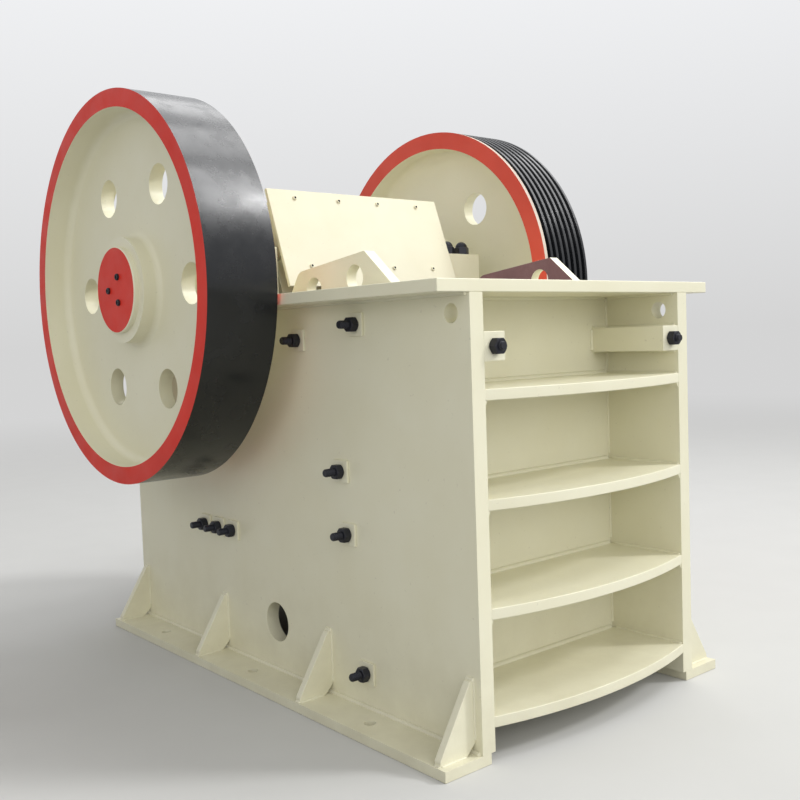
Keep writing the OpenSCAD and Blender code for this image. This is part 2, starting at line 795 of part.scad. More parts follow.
module swing_jaw() {
    rib_xs = rib_shares * (jaw_body_w - jaw_rib_t) / 2;
    color(CREAM) at_front() difference() {
        union() {
            bar_x(-jaw_w / 2, jaw_w, head_d, shaft_front, shaft_z);
            on_jaw() box_between([-jaw_body_w / 2, jaw_plate_t, 0],
                                 [jaw_body_w / 2, jaw_plate_t + jaw_slab_t, jaw_len]);
            on_jaw() for (x = rib_xs)
                plate_x(x - jaw_rib_t / 2, jaw_rib_t) jaw_rib_outline();
            translate([0, toggle_front_y, toggle_front_z]) rotate([toggle_rise, 0, 0])
                box_between([-toggle_w / 2 - toggle_seat_side, -toggle_seat_depth, -toggle_seat_h / 2],
                            [toggle_w / 2 + toggle_seat_side, 0, toggle_seat_h / 2]);
            for (side = [-1, 1]) on_side(side)
                plate_x(rod_eye_w / 2 + rod_lug_gap, rod_lug_w) rod_lug_outline();
            bar_x(-rod_eye_w / 2 - rod_lug_gap - cut, rod_eye_w + 2 * (rod_lug_gap + cut), rod_pin_d,
                  rod_pin_y, rod_z);
        }
        bar_x(-jaw_w / 2 - cut, jaw_w + 2 * cut, shaft_d + 2 * shaft_fit, shaft_front, shaft_z);
        bar_x(-toggle_w / 2 - toggle_seat_side - cut, toggle_w + 2 * (toggle_seat_side + cut),
              toggle_end_d + 2 * toggle_front_clear, toggle_front_y, toggle_front_z);
        translate([0, toggle_front_y, toggle_front_z]) rotate([toggle_rise, 0, 0])
            box_between([-toggle_w / 2 - toggle_side_gap, 0, -toggle_t / 2 - toggle_room],
                        [toggle_w / 2 + toggle_side_gap, toggle_len, toggle_t / 2 + toggle_room]);
    }
}

module rod_lug_outline() {
    r = rod_eye_d / 2;
    translate([rod_pin_y, rod_z]) circle(r = r);
    polygon([
        [rod_pin_y, rod_z - r], [rod_pin_y, rod_z + r],
        [lug_root_high_y, rod_z + r + lug_root_rise], [lug_root_low_y, rod_z - r]
    ]);
}

module guard_plate() {
    color(CREAM) at_front() translate([0, shaft_front, shaft_z]) rotate([-nip_angle, 0, 0]) difference() {
        union() {
            box_between([-guard_w / 2, -guard_out, -guard_low],
                        [guard_w / 2, guard_t - guard_out, guard_h - guard_low]);
            for (x = rib_shares * (jaw_w - guard_rib_t) / 2)
                box_between([x - guard_rib_t / 2, guard_t - guard_out - cut, -guard_rib_low],
                            [x + guard_rib_t / 2, 0, guard_h - guard_low - guard_rib_short]);
        }
        bar_x(-guard_w, 2 * guard_w, head_d + 2 * slide_gap, 0, 0);
    }
}

// Toggle, block and guides

module toggle_plate() {
    color(CAST_GREY) at_front() translate([0, toggle_front_y, toggle_front_z]) rotate([toggle_rise, 0, 0]) {
        bar_x(-toggle_w / 2, toggle_w, toggle_end_d, 0, 0);
        bar_x(-toggle_w / 2, toggle_w, toggle_end_d, toggle_len, 0);
        box_between([-toggle_w / 2, 0, -toggle_t / 2], [toggle_w / 2, toggle_len, toggle_t / 2]);
    }
}

module toggle_block() {
    face = toggle_rear_y + block_face_gap;
    color(CREAM) at_front() {
        difference() {
            box_between([-block_w / 2, face, toggle_rear_z - block_h / 2],
                        [block_w / 2, face + block_len, toggle_rear_z + block_h / 2]);
            bar_x(-block_w, 2 * block_w, toggle_end_d + 2 * toggle_rear_clear, toggle_rear_y, toggle_rear_z);
        }
        for (x = [-jack_x, jack_x]) {
            bar_y(face + block_len - cut, rear_wall_back + jack_out - face - block_len, jack_d, x,
                  toggle_rear_z);
            translate([x, rear_wall_back + jack_out - 2 * cut, toggle_rear_z]) rotate([-90, 0, 0])
                hex(jack_head_h, jack_head_af);
        }
    }
}

module toggle_guide(side) {
    lip = block_h / 2 + slide_gap;
    color(CREAM) at_front() on_side(side) difference() {
        union() {
            box_between([wall_in - guide_web_t, guide_front, toggle_rear_z - lip - guide_lip_t],
                        [wall_in, rear_wall_y, toggle_rear_z + lip + guide_lip_t]);
            for (z = [toggle_rear_z - lip - guide_lip_t, toggle_rear_z + lip])
                box_between([wall_in - guide_lip_w, guide_front, z], [wall_in, rear_wall_y, z + guide_lip_t]);
        }
        for (p = guide_bolts)
            bar_x(wall_in - stud_in_guide - 2, stud_in_guide + 2 + cut, stud_d + 2 * stud_fit, p[0], p[1]);
    }
}

module rear_wall() {
    color(CREAM) at_front() difference() {
        box_between([-wall_in, rear_wall_y, front_low_z], [wall_in, rear_wall_back, rear_slope_z]);
        for (x = [-jack_x, jack_x])
            bar_y(rear_wall_y - cut, rear_wall_t + 2 * cut, jack_d + 2 * jack_clear, x, toggle_rear_z);
        bar_y(rear_wall_y - cut, rear_wall_t + 2 * cut, rod_d + 2 * rod_hole_clear, 0, rod_z);
    }
}

// The ribs are counted from the top, evenly spaced over the rear wall's height
module rear_rib(number) {
    low = front_low_z + (4 - number) * (rear_slope_z - rib_t - front_low_z) / 3;
    color(CREAM) at_front()
        box_between([-wall_in, rear_wall_back, low], [wall_in, frame_len - rear_rib_set, low + rib_t]);
}

module tension_spring() {
    color(BOLT_BLACK) at_front() difference() {
        bar_y(rear_wall_back + spring_seat_t, spring_len, spring_d, 0, rod_z);
        bar_y(rear_wall_back, spring_len + 2 * spring_seat_t, spring_bore_d, 0, rod_z);
    }
}

module tension_nuts() {
    color(BOLT_BLACK) at_front() {
        difference() {
            bar_y(rear_wall_back, spring_seat_t, spring_d + 2 * spring_seat_rim, 0, rod_z);
            bar_y(rear_wall_back - cut, spring_seat_t + 2 * cut, rod_d + 2 * rod_hole_clear, 0, rod_z);
        }
        difference() {
            union() {
                bar_y(spring_end, rod_washer_t, spring_d + 2 * rod_washer_rim, 0, rod_z);
                translate([0, spring_end + rod_washer_t, rod_z]) rotate([-90, 0, 0])
                    hex(2 * rod_nut_h, rod_nut_af);
            }
            bar_y(spring_end - cut, rod_washer_t + 2 * (rod_nut_h + cut), rod_d + 2 * rod_nut_clear, 0,
                  rod_z);
        }
    }
}

module tension_rod() {
    color(BARE_STEEL) at_front() difference() {
        union() {
            bar_x(-rod_eye_w / 2, rod_eye_w, rod_eye_d, rod_pin_y, rod_z);
            bar_y(rod_pin_y, rod_end_y - rod_pin_y, rod_d, 0, rod_z);
        }
        bar_x(-rod_eye_w, 2 * rod_eye_w, rod_pin_d + 2 * shaft_fit, rod_pin_y, rod_z);
    }
}

side_wall(-1);  // side_wall_left
side_wall(1);  // side_wall_right
base_flange(-1);  // base_flange_left
base_flange(1);  // base_flange_right
base_gussets(-1);  // base_gussets_left
base_gussets(1);  // base_gussets_right
front_wall();
front_rib(1);  // front_rib_1
front_rib(2);  // front_rib_2
front_rib(3);  // front_rib_3
front_rib(4);  // front_rib_4
top_flange_front();
top_flange_side(-1);  // top_flange_left
top_flange_side(1);  // top_flange_right
spacer_bars();
spacer_bar_studs();
upper_liner(-1);  // upper_liner_left
upper_liner(1);  // upper_liner_right
lower_liner(-1);  // lower_liner_left
lower_liner(1);  // lower_liner_right
liner_bolts(-1);  // liner_bolts_left
liner_bolts(1);  // liner_bolts_right
fixed_jaw_plate();
main_bearing(-1);  // main_bearing_left
main_bearing(1);  // main_bearing_right
bearing_cap(-1);  // bearing_cap_left
bearing_cap(1);  // bearing_cap_right
bearing_studs(-1);  // bearing_studs_left
bearing_studs(1);  // bearing_studs_right
rear_wall();
rear_rib(1);  // rear_rib_1
rear_rib(2);  // rear_rib_2
rear_rib(3);  // rear_rib_3
rear_rib(4);  // rear_rib_4
toggle_guide(-1);  // toggle_guide_left
toggle_guide(1);  // toggle_guide_right
tension_spring();
tension_nuts();
eccentric_shaft();
flywheel();
belt_wheel();
hub_cap(-1);  // hub_cap_left
hub_cap(1);  // hub_cap_right
swing_jaw();
swing_jaw_plate();
guard_plate();
toggle_block();
toggle_plate();
tension_rod();
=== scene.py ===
import math

import bpy
from mathutils import Matrix, Vector


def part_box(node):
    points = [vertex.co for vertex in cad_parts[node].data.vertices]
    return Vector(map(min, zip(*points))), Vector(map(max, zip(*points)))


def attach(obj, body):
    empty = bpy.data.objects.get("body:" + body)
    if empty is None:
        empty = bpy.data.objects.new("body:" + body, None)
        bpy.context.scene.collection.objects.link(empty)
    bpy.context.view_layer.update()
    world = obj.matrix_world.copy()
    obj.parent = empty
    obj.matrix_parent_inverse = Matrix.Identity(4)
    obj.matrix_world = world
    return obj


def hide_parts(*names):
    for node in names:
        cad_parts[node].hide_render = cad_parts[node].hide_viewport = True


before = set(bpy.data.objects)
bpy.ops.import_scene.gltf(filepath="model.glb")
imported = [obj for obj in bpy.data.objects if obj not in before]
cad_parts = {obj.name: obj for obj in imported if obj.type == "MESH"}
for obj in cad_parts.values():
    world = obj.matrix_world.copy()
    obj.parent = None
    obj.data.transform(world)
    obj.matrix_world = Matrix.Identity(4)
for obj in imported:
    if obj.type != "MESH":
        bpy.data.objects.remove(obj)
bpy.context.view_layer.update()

# All lengths are in metres: X runs along the shaft, Y to the rear, Z up
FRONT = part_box("side_wall_right")[0].y
WHEEL_LOW, WHEEL_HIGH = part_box("belt_wheel")
SHAFT_Y = (WHEEL_LOW.y + WHEEL_HIGH.y) / 2
SHAFT_Z = (WHEEL_LOW.z + WHEEL_HIGH.z) / 2

# Frame plates. A place named FACE or a gusset's place is a distance from the frame's front.
FRAME_LEN = 2.340
WALL_IN = 0.504
WALL_OUT = 0.560
FLANGE_LOW = 1.465
FLANGE_REAR = 1.182
FRONT_FACE = 0.330
REAR_FACE = 1.860
RIB_T = 0.036
RIB_COUNT = 4
LOWEST_RIB = 0.110
RIB_PITCH = 0.341
REAR_RIB_TOP = 1.110
REAR_RIB_PITCH = (REAR_RIB_TOP - RIB_T - LOWEST_RIB) / (RIB_COUNT - 1)
FRONT_RIBS = tuple(LOWEST_RIB + k * RIB_PITCH for k in reversed(range(RIB_COUNT)))
REAR_RIBS = tuple(LOWEST_RIB + k * REAR_RIB_PITCH for k in reversed(range(RIB_COUNT)))
GUSSET_T = 0.028
GUSSET_END = 0.032
GUSSET_PITCH = (FRAME_LEN - 2 * GUSSET_END - GUSSET_T) / 3
GUSSETS = tuple(GUSSET_END + k * GUSSET_PITCH for k in range(4))
GUSSET_TOP = 0.232
GUSSET_NOTCH = 0.040
GUSSET_OUT = 0.704
BASE_T = 0.035
LINER_CORNER = (0.940, 1.598)

# Wheels, along the shaft from their inner face
WHEEL_X = WHEEL_LOW.x
WHEEL_W = WHEEL_HIGH.x - WHEEL_LOW.x
RIM_IN = 0.701
WEB_T = 0.056
WEB_LOW = (WHEEL_W - WEB_T) / 2
WEB_HIGH = (WHEEL_W + WEB_T) / 2
RIM_FILLET = 0.034
HUB_FILLET = 0.026
HUB_R = 0.210
HUB_LEN = 0.240
BORE_R = 0.1001
WEB_HOLES = 6
WEB_HOLE_R = 0.0775
WEB_HOLE_OUT = 0.453
GROOVE_COUNT = 7
GROOVE_FIRST = 0.030
GROOVE_PITCH = 0.0375
GROOVE_W = 0.023
GROOVE_DEEP = 0.020
GROOVE_FLANK = math.radians(18)
CAP_R = 0.171
CAP_T = 0.022

# Bearing housings
HOUSING_OUT = 0.660
HOUSING_IN = 0.460
COVER_BORE = 0.114
CAP_TOP = SHAFT_Z + 0.150
CAP_STUD_X = 0.046
CAP_STUD_Y = 0.340

# Bolts
STUD_R = 0.0145
NUT_AF = 0.049
NUT_H = 0.030
WASHER = 0.080
WASHER_T = 0.010
STUD_TAIL = 0.038
STUD_START = 0.004
BAR_STUD_OUT = 0.042


def from_front(y):
    return FRONT + y


# Selecting, editing and finishing a piece

def deselect():
    if bpy.context.mode != "OBJECT":
        bpy.ops.object.mode_set(mode="OBJECT")
    bpy.ops.object.select_all(action="DESELECT")


def take(*pieces):
    deselect()
    for piece in pieces:
        piece.select_set(True)
    bpy.context.view_layer.objects.active = pieces[0]


def edit(piece, kind="VERT"):
    take(piece)
    bpy.ops.object.mode_set(mode="EDIT")
    bpy.ops.mesh.select_mode(type=kind)
    bpy.ops.mesh.select_all(action="SELECT")


def leave_edit():
    bpy.ops.object.mode_set(mode="OBJECT")


def modify(piece, kind, **settings):
    take(piece)
    made = piece.modifiers.new(kind.lower(), kind)
    for key, value in settings.items():
        setattr(made, key, value)
    bpy.ops.object.modifier_apply(modifier=made.name)


def outward(piece):
    edit(piece)
    bpy.ops.mesh.remove_doubles(threshold=0.00001)
    bpy.ops.mesh.normals_make_consistent(inside=False)
    leave_edit()


def smooth(piece, degrees=35):
    take(piece)
    bpy.ops.object.shade_smooth_by_angle(angle=math.radians(degrees))


def round_edges(piece, width, segments=2, degrees=30):
    modify(piece, "BEVEL", width=width, segments=segments, limit_method="ANGLE",
           angle_limit=math.radians(degrees), harden_normals=False, miter_outer="MITER_ARC")
    smooth(piece)
    modify(piece, "WEIGHTED_NORMAL", mode="FACE_AREA", weight=50, keep_sharp=True)


def join(pieces):
    take(*pieces)
    if len(pieces) > 1:
        bpy.ops.object.join()
    return bpy.context.view_layer.objects.active


def twin_of(name, mesh):
    made = bpy.data.objects.new(name, mesh.copy())
    bpy.context.scene.collection.objects.link(made)
    return made


def copied(piece, places):
    """Copies of a piece, one at each place, joined. The first piece is used up."""
    made = []
    for place in places:
        twin = twin_of(piece.name, piece.data)
        twin.data.transform(place)
        made.append(twin)
    bpy.data.objects.remove(piece)
    return join(made)


def finish_piece(piece, name, body, slot, *replaced, finish=None):
    take(piece)
    bpy.ops.object.transform_apply(location=True, rotation=True, scale=True)
    piece.name = name
    piece.data.name = name
    if finish is not None:
        piece.data.materials.clear()
        piece.data.materials.append(finish)
    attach(piece, body)
    if replaced:
        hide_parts(*replaced)
    return piece


def arc(centre, radius, start, end, steps=8):
    """Points of a corner's arc, as (radius from the axis, place along it), angles in degrees."""
    return [
        (centre[0] + radius * math.cos(math.radians(start + (end - start) * k / steps)),
         centre[1] + radius * math.sin(math.radians(start + (end - start) * k / steps)))
        for k in range(steps + 1)
    ]


def turned(rings, steps=64, hollow=False):
    """Turns a piece about Z: a circle is extruded and resized from ring to ring."""
    deselect()
    radius, level = rings[0]
    bpy.ops.mesh.primitive_circle_add(vertices=steps, radius=radius, location=(0, 0, level))
    piece = bpy.context.object
    edit(piece, "EDGE")
    for next_radius, next_level in rings[1:]:
        bpy.ops.mesh.extrude_region_move(
            TRANSFORM_OT_translate={"value": (0, 0, next_level - level)})
        share = next_radius / radius
        bpy.ops.transform.resize(value=(share, share, 1), center_override=(0, 0, next_level))
        radius, level = next_radius, next_level
    bpy.ops.mesh.select_all(action="DESELECT")
    bpy.ops.mesh.select_non_manifold()
    if hollow:
        bpy.ops.mesh.bridge_edge_loops()
    else:
        bpy.ops.mesh.fill_holes(sides=0)
    bpy.ops.mesh.select_all(action="SELECT")
    bpy.ops.mesh.normals_make_consistent(inside=False)
    leave_edit()
    take(piece)
    bpy.ops.object.transform_apply(location=True, rotation=True, scale=True)
    return piece


def along_x(side, x, y, z):
    """Stands a piece that was made along Z so that it points outwards on one side."""
    return Matrix.Translation((side * x, y, z)) @ Matrix.Rotation(side * math.pi / 2, 4, "Y")


def stand(piece, place):
    piece.data.transform(place)
    return piece


# Finishes

def mix(tree, factor, low, high):
    node = tree.nodes.new("ShaderNodeMix")
    node.data_type = "RGBA"
    for socket, value in ((node.inputs[0], factor), (node.inputs[6], low), (node.inputs[7], high)):
        if isinstance(value, bpy.types.NodeSocket):
            tree.links.new(value, socket)
        elif isinstance(value, (int, float)):
            socket.default_value = value
        else:
            socket.default_value = (*value, 1)
    return node.outputs[2]


def noise(tree, where, scale, detail=3.0, rough=0.55):
    node = tree.nodes.new("ShaderNodeTexNoise")
    node.inputs["Scale"].default_value = scale
    node.inputs["Detail"].default_value = detail
    node.inputs["Roughness"].default_value = rough
    tree.links.new(where, node.inputs["Vector"])
    return node.outputs["Fac"]


def stretched(tree, where, x, y, z):
    node = tree.nodes.new("ShaderNodeMapping")
    node.inputs["Scale"].default_value = (x, y, z)
    tree.links.new(where, node.inputs["Vector"])
    return node.outputs["Vector"]


def spread(tree, value, low, high, to_low, to_high):
    node = tree.nodes.new("ShaderNodeMapRange")
    node.inputs["From Min"].default_value = low
    node.inputs["From Max"].default_value = high
    node.inputs["To Min"].default_value = to_low
    node.inputs["To Max"].default_value = to_high
    tree.links.new(value, node.inputs["Value"])
    return node.outputs["Result"]


def times(tree, a, b):
    node = tree.nodes.new("ShaderNodeMath")
    node.operation = "MULTIPLY"
    tree.links.new(a, node.inputs[0])
    tree.links.new(b, node.inputs[1])
    return node.outputs[0]


def bump(tree, height, distance, under=None):
    node = tree.nodes.new("ShaderNodeBump")
    node.inputs["Strength"].default_value = 1.0
    node.inputs["Distance"].default_value = distance
    tree.links.new(height, node.inputs["Height"])
    if under is not None:
        tree.links.new(under, node.inputs["Normal"])
    return node.outputs["Normal"]


def new_finish(name):
    made = bpy.data.materials.new(name)
    made.use_nodes = True
    tree = made.node_tree
    shader = tree.nodes["Principled BSDF"]
    where = tree.nodes.new("ShaderNodeTexCoord").outputs["Object"]
    return made, tree, shader, where


def enamel(name, colour, deeper, dust, roughness, peel=0.00025, dust_share=0.5, sway=0.0016,
           speck_share=0.35):
    """Sprayed paint on steel: mottled, with orange peel, faint runs and dust low down.

    Peel and sway are the heights of the fine and the broad waves in it."""
    made, tree, shader, where = new_finish(name)
    mottle = spread(tree, noise(tree, where, 3.5, 5), 0.35, 0.68, 0, 1)
    base = mix(tree, mottle, colour, deeper)
    runs = noise(tree, stretched(tree, where, 9, 9, 0.9), 2.0, 4)
    base = mix(tree, spread(tree, runs, 0.55, 0.75, 0, 0.22), base, deeper)
    height = tree.nodes.new("ShaderNodeSeparateXYZ")
    tree.links.new(where, height.inputs[0])
    low_down = spread(tree, height.outputs["Z"], 0.0, 0.45, 1, 0)
    patches = spread(tree, noise(tree, where, 7, 6, 0.65), 0.35, 0.7, 0.1, 1)
    film = times(tree, low_down, patches)
    base = mix(tree, spread(tree, film, 0, 1, 0, dust_share), base, dust)
    specks = spread(tree, noise(tree, where, 60, 2), 0.70, 0.78, 0, speck_share)
    base = mix(tree, specks, base, dust)
    tree.links.new(base, shader.inputs["Base Color"])
    tree.links.new(spread(tree, noise(tree, where, 11, 5), 0.3, 0.7, roughness, roughness + 0.16),
                   shader.inputs["Roughness"])
    plate = bump(tree, noise(tree, where, 5, 2), sway)
    tree.links.new(bump(tree, noise(tree, where, 380, 2), peel, plate), shader.inputs["Normal"])
    return made


def raw_metal(name, colour, deeper, roughness, grain, relief, metallic):
    """Bare, primed or blackened metal with a cast or turned grain."""
    made, tree, shader, where = new_finish(name)
    shader.inputs["Metallic"].default_value = metallic
    blotch = spread(tree, noise(tree, where, 8, 6, 0.6), 0.32, 0.7, 0, 1)
    base = mix(tree, blotch, colour, deeper)
    fine = spread(tree, noise(tree, where, grain, 4), 0.4, 0.75, 0, 0.6)
    base = mix(tree, fine, base, deeper)
    tree.links.new(base, shader.inputs["Base Color"])
    tree.links.new(spread(tree, noise(tree, where, 18, 4), 0.3, 0.7, roughness, roughness + 0.2),
                   shader.inputs["Roughness"])
    tree.links.new(bump(tree, noise(tree, where, grain, 5, 0.6), relief), shader.inputs["Normal"])
    return made


CREAM = enamel("cream_enamel", (0.80, 0.775, 0.60), (0.775, 0.745, 0.56), (0.52, 0.48, 0.37), 0.30,
               dust_share=0.3)
RED = enamel("orange_red_enamel", (0.72, 0.030, 0.014), (0.64, 0.024, 0.011), (0.42, 0.16, 0.10),
             0.36, dust_share=0.15)
RED.node_tree.nodes["Principled BSDF"].inputs["Specular IOR Level"].default_value = 0.25
# A lighter copy of the red for the belt wheel's ring: painted light, as that wheel looks more washed
# out by the light than the flywheel.
RED_PAINTED_LIGHT = enamel("red_enamel_painted_light", (0.77, 0.085, 0.048), (0.71, 0.068, 0.038),
                   (0.50, 0.22, 0.16), 0.40, dust_share=0.15)
BLACK = enamel("rim_black_enamel", (0.004, 0.005, 0.007), (0.007, 0.008, 0.010),
               (0.06, 0.056, 0.05), 0.17, peel=0.00010, dust_share=0.10, sway=0.0007,
               speck_share=0.10)
# Pale edge paint on the wheels' rims: wear, and a painted highlight on their chamfered corners.
EDGE = enamel("worn_and_highlight_edge_enamel", (0.62, 0.54, 0.45), (0.50, 0.42, 0.35), (0.45, 0.40, 0.33), 0.52)
# A lighter copy of the cream enamel, which paints light onto the faces that catch more of it: the
# belt wheel's web and the upper liners' outer faces and edges.
CREAM_PAINTED_LIGHT = enamel("cream_enamel_painted_light", (0.92, 0.89, 0.70), (0.89, 0.86, 0.66), (0.56, 0.52, 0.41), 0.40)
SATIN = enamel("satin_enamel", (0.80, 0.775, 0.60), (0.775, 0.745, 0.56), (0.52, 0.48, 0.37), 0.62)
PRIMER = raw_metal("maroon_primer", (0.36, 0.20, 0.205), (0.27, 0.145, 0.15),
                   0.58, 160, 0.0006, 0.0)
BOLT = raw_metal("black_oxide", (0.020, 0.022, 0.034), (0.012, 0.012, 0.016),
                 0.34, 300, 0.0002, 0.35)
CAST = raw_metal("manganese_casting", (0.20, 0.185, 0.17), (0.11, 0.095, 0.085),
                 0.52, 120, 0.0016, 0.7)
STEEL = raw_metal("turned_steel", (0.50, 0.50, 0.50), (0.36, 0.36, 0.37), 0.24, 400, 0.0001, 1.0)


# Plates, bars and castings keep the shape of their part and get rounded edges
MERGE = 0.00002
FLAT = math.radians(0.4)
PLATE_EDGE = 0.003
THIN_EDGE = 0.0025
BLOCK_EDGE = 0.004
JAW_PLATE_EDGE = 0.005
CASTING_EDGE = 0.006
SMALL_EDGE = 0.002
EAR_DRAWN = (0, 0.040, -0.004)
EAR_ROUND = 0.022
FLANGE_STEP = 0.018


def whole_faces(piece):
    """Merges the loose triangles of a part into its whole flat faces."""
    edit(piece)
    bpy.ops.mesh.remove_doubles(threshold=MERGE)
    bpy.ops.mesh.dissolve_limited(angle_limit=FLAT)
    leave_edit()


def pick(piece, wanted):
    """Selects the vertices that lie where they are wanted, and is left in edit mode."""
    edit(piece)
    bpy.ops.mesh.select_all(action="DESELECT")
    leave_edit()
    for vertex in piece.data.vertices:
        vertex.select = wanted(vertex.co)
    bpy.ops.object.mode_set(mode="EDIT")


def rounded(node, body, slot, finish, width, segments=2, shape=None):
    deselect()
    piece = twin_of(node + "_piece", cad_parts[node].data)
    whole_faces(piece)
    if shape is not None:
        shape(piece)
    round_edges(piece, width, segments)
    return finish_piece(piece, node + "_piece", body, slot, node, finish=finish)


SIDES = (("left", -1), ("right", 1))


def round_ear(piece):
    """The upper liners' rear top corner is drawn out a little and rounded."""
    corner_y, corner_z = from_front(LINER_CORNER[0]), LINER_CORNER[1]
    pick(piece, lambda co: abs(co.y - corner_y) < 0.004 and abs(co.z - corner_z) < 0.004)
    bpy.ops.transform.translate(value=EAR_DRAWN)
    bpy.ops.mesh.select_mode(type="EDGE")
    bpy.ops.mesh.bevel(offset=EAR_ROUND, segments=6)
    leave_edit()


def step_flange(piece):
    """The base flanges stop a little short of the walls' inner faces."""
    pick(piece, lambda co: abs(co.x) < WALL_IN + 0.002)
    side = 1 if piece.data.vertices[0].co.x > 0 else -1
    bpy.ops.transform.translate(value=(side * FLANGE_STEP, 0, 0))
    leave_edit()


def weld_flanges(piece):
    """The three plates of the top flange are one plate, ground flush where they meet."""
    for node in ("top_flange_left", "top_flange_right"):
        plate = twin_of(node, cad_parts[node].data)
        outward(plate)
        modify(piece, "BOOLEAN", operation="UNION", object=plate, solver="EXACT")
        bpy.data.objects.remove(plate)
    whole_faces(piece)


def paint_liner(piece, side):
    """The upper liners are cream outside and on their edges, and keep their primer inside. Their
    outer faces and edges get the lighter cream, painted light, which gives the edges a painted
    highlight.
    """
    piece.data.materials.append(CREAM_PAINTED_LIGHT)
    for face in piece.data.polygons:
        if face.normal.x * side > -0.6:
            face.material_index = 1


for word, side in SIDES:
    rounded("side_wall_" + word, "frame", "cream_paint", CREAM, PLATE_EDGE)
    rounded("base_flange_" + word, "frame", "cream_paint", CREAM, PLATE_EDGE, shape=step_flange)
    rounded("base_gussets_" + word, "frame", "cream_paint", CREAM, THIN_EDGE)
    liner = rounded("upper_liner_" + word, "frame", "red_primer", PRIMER, PLATE_EDGE,
                    shape=round_ear)
    paint_liner(liner, side)
    rounded("lower_liner_" + word, "frame", "red_primer", PRIMER, BLOCK_EDGE)
    rounded("bearing_cap_" + word, "frame", "cream_paint", CREAM, CASTING_EDGE, 3)
    rounded("toggle_guide_" + word, "frame", "cream_paint", CREAM, PLATE_EDGE)
for node in ("front_wall", "rear_wall", "spacer_bars"):
    rounded(node, "frame", "cream_paint", CREAM, PLATE_EDGE)
rounded("top_flange_front", "frame", "cream_paint", CREAM, PLATE_EDGE, shape=weld_flanges)
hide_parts("top_flange_left", "top_flange_right")
for number in range(1, 5):
    rounded(f"front_rib_{number}", "frame", "cream_paint", CREAM, PLATE_EDGE)
    rounded(f"rear_rib_{number}", "frame", "cream_paint", CREAM, PLATE_EDGE)
rounded("fixed_jaw_plate", "frame", "cast_manganese", CAST, JAW_PLATE_EDGE)
rounded("swing_jaw_plate", "jaw", "cast_manganese", CAST, JAW_PLATE_EDGE)
rounded("swing_jaw", "jaw", "cream_paint", CREAM, CASTING_EDGE)
rounded("guard_plate", "jaw", "cream_paint", SATIN, THIN_EDGE)
rounded("toggle_block", "block", "cream_paint", CREAM, BLOCK_EDGE)
rounded("toggle_plate", "toggle", "cast_manganese", CAST, PLATE_EDGE)
rounded("tension_rod", "rod", "machined_steel", STEEL, SMALL_EDGE)
rounded("eccentric_shaft", "rotor", "machined_steel", STEEL, PLATE_EDGE)


# Wheels

def wheel_rings(outer, grooved):
    rings = [(BORE_R, 0), (HUB_R, 0)]
    rings += arc((HUB_R + HUB_FILLET, WEB_LOW - HUB_FILLET), HUB_FILLET, 180, 90)
    rings += arc((RIM_IN - RIM_FILLET, WEB_LOW - RIM_FILLET), RIM_FILLET, 90, 0)
    rings += [(RIM_IN, 0), (outer, 0)]
    if grooved:
        foot = GROOVE_W / 2 - GROOVE_DEEP * math.tan(GROOVE_FLANK)
        for k in range(GROOVE_COUNT):
            middle = GROOVE_FIRST + k * GROOVE_PITCH
            rings += [(outer, middle - GROOVE_W / 2), (outer - GROOVE_DEEP, middle - foot),
                      (outer - GROOVE_DEEP, middle + foot), (outer, middle + GROOVE_W / 2)]
    rings += [(outer, WHEEL_W), (RIM_IN, WHEEL_W)]
    rings += arc((RIM_IN - RIM_FILLET, WEB_HIGH + RIM_FILLET), RIM_FILLET, 0, -90)
    rings += arc((HUB_R + HUB_FILLET, WEB_HIGH + HUB_FILLET), HUB_FILLET, -90, -180)
    return rings + [(HUB_R, HUB_LEN), (BORE_R, HUB_LEN)]


def wheel(name, side, grooved, edge, web_finish, ring_finish, pale_land):
    """One wheel. Its rim is painted pale from the inner side up to pale_land, for wear and a painted
    highlight on its edge.
    """
    node = "belt_wheel" if grooved else "flywheel"
    low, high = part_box(node)
    outer = (high.y - low.y) / 2
    piece = turned(wheel_rings(outer, grooved), 160, hollow=True)
    drills = []
    for k in range(WEB_HOLES):
        angle = math.tau * (k + 0.5) / WEB_HOLES
        bpy.ops.mesh.primitive_cylinder_add(
            vertices=48, radius=WEB_HOLE_R, depth=WHEEL_W,
            location=(WEB_HOLE_OUT * math.cos(angle), WEB_HOLE_OUT * math.sin(angle), WHEEL_W / 2))
        drills.append(bpy.context.object)
    drill = join(drills)
    bpy.ops.object.transform_apply(location=True, rotation=True, scale=True)
    modify(piece, "BOOLEAN", operation="DIFFERENCE", object=drill, solver="EXACT")
    bpy.data.objects.remove(drill)
    round_edges(piece, edge)
    for finish in (web_finish, ring_finish, BLACK, EDGE):
        piece.data.materials.append(finish)
    for face in piece.data.polygons:
        reach = math.hypot(face.center.x, face.center.y)
        at_side = min(face.center.z, WHEEL_W - face.center.z)
        if reach < RIM_IN - 0.0005:
            face.material_index = 0
        elif at_side < 0.0005:
            face.material_index = 1
        # The rim's chamfers and the land up to pale_land get the pale edge paint: wear and a painted
        # highlight.
        elif face.center.z < pale_land or at_side < edge * 1.1:
            face.material_index = 3 if reach > outer - 0.01 else 1
        elif reach > outer - GROOVE_DEEP - 0.002:
            face.material_index = 2
        else:
            face.material_index = 0
    stand(piece, along_x(side, WHEEL_X, SHAFT_Y, SHAFT_Z))
    return finish_piece(piece, name, "rotor", "gloss_black_paint", node)


wheel("flywheel_casting", -1, grooved=False, edge=0.004, web_finish=CREAM, ring_finish=RED,
      pale_land=0)
# The belt wheel gets the lighter copies of the cream and the red: painted light.
wheel("belt_wheel_casting", 1, grooved=True, edge=0.003, web_finish=CREAM_PAINTED_LIGHT, ring_finish=RED_PAINTED_LIGHT,
      pale_land=GROOVE_FIRST - GROOVE_W / 2 + 0.001)


